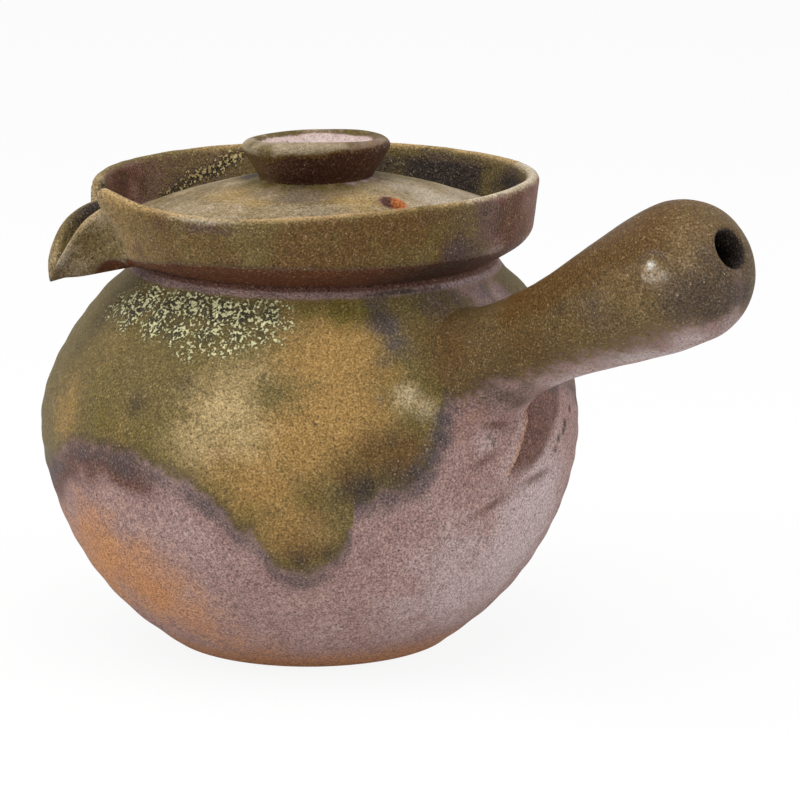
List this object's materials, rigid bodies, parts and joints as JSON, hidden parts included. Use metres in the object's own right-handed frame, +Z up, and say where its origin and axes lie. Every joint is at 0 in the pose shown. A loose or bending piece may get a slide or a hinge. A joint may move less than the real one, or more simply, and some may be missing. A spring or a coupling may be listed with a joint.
{
  "type": "side-handled tea boiling pot",
  "caption": "Round clay tea boiling pot with a hollow side handle, a pinched pouring lip, a gallery collar and a loose lift-off lid with a cupped knob and a steam vent.",
  "frame": {"origin": "centre of the flat foot, on the pot's turning axis", "axes": "+Z up along the turning axis, +X towards the handle, -Z out of the foot"},
  "size_m": [0.207, 0.14, 0.1306],
  "materials": {
    "raw_clay": "bare wood-fired stoneware, mauve-grey with an orange flame blush, fine sand in it",
    "ash_clay": "stoneware under natural olive ash glaze, satin, with runs and crusts",
    "dark_clay": "stoneware under a thin dark red-brown flashing, satin to gloss"
  },
  "bodies": {
    "pot": {"pot_bowl": "raw_clay", "pot_shoulder": "ash_clay", "gallery_collar": "ash_clay", "pouring_lip": "ash_clay", "side_handle": "ash_clay", "handle_luting": "raw_clay"},
    "lid": {"lid_dome": "ash_clay", "lid_flange": "raw_clay", "lid_knob": "dark_clay"}
  },
  "joints": [
    {"name": "lid_lift", "type": "slide", "parent": "pot", "child": "lid", "axis": [0, 0, 1], "range_m": [0, 0.06]}
  ]
}
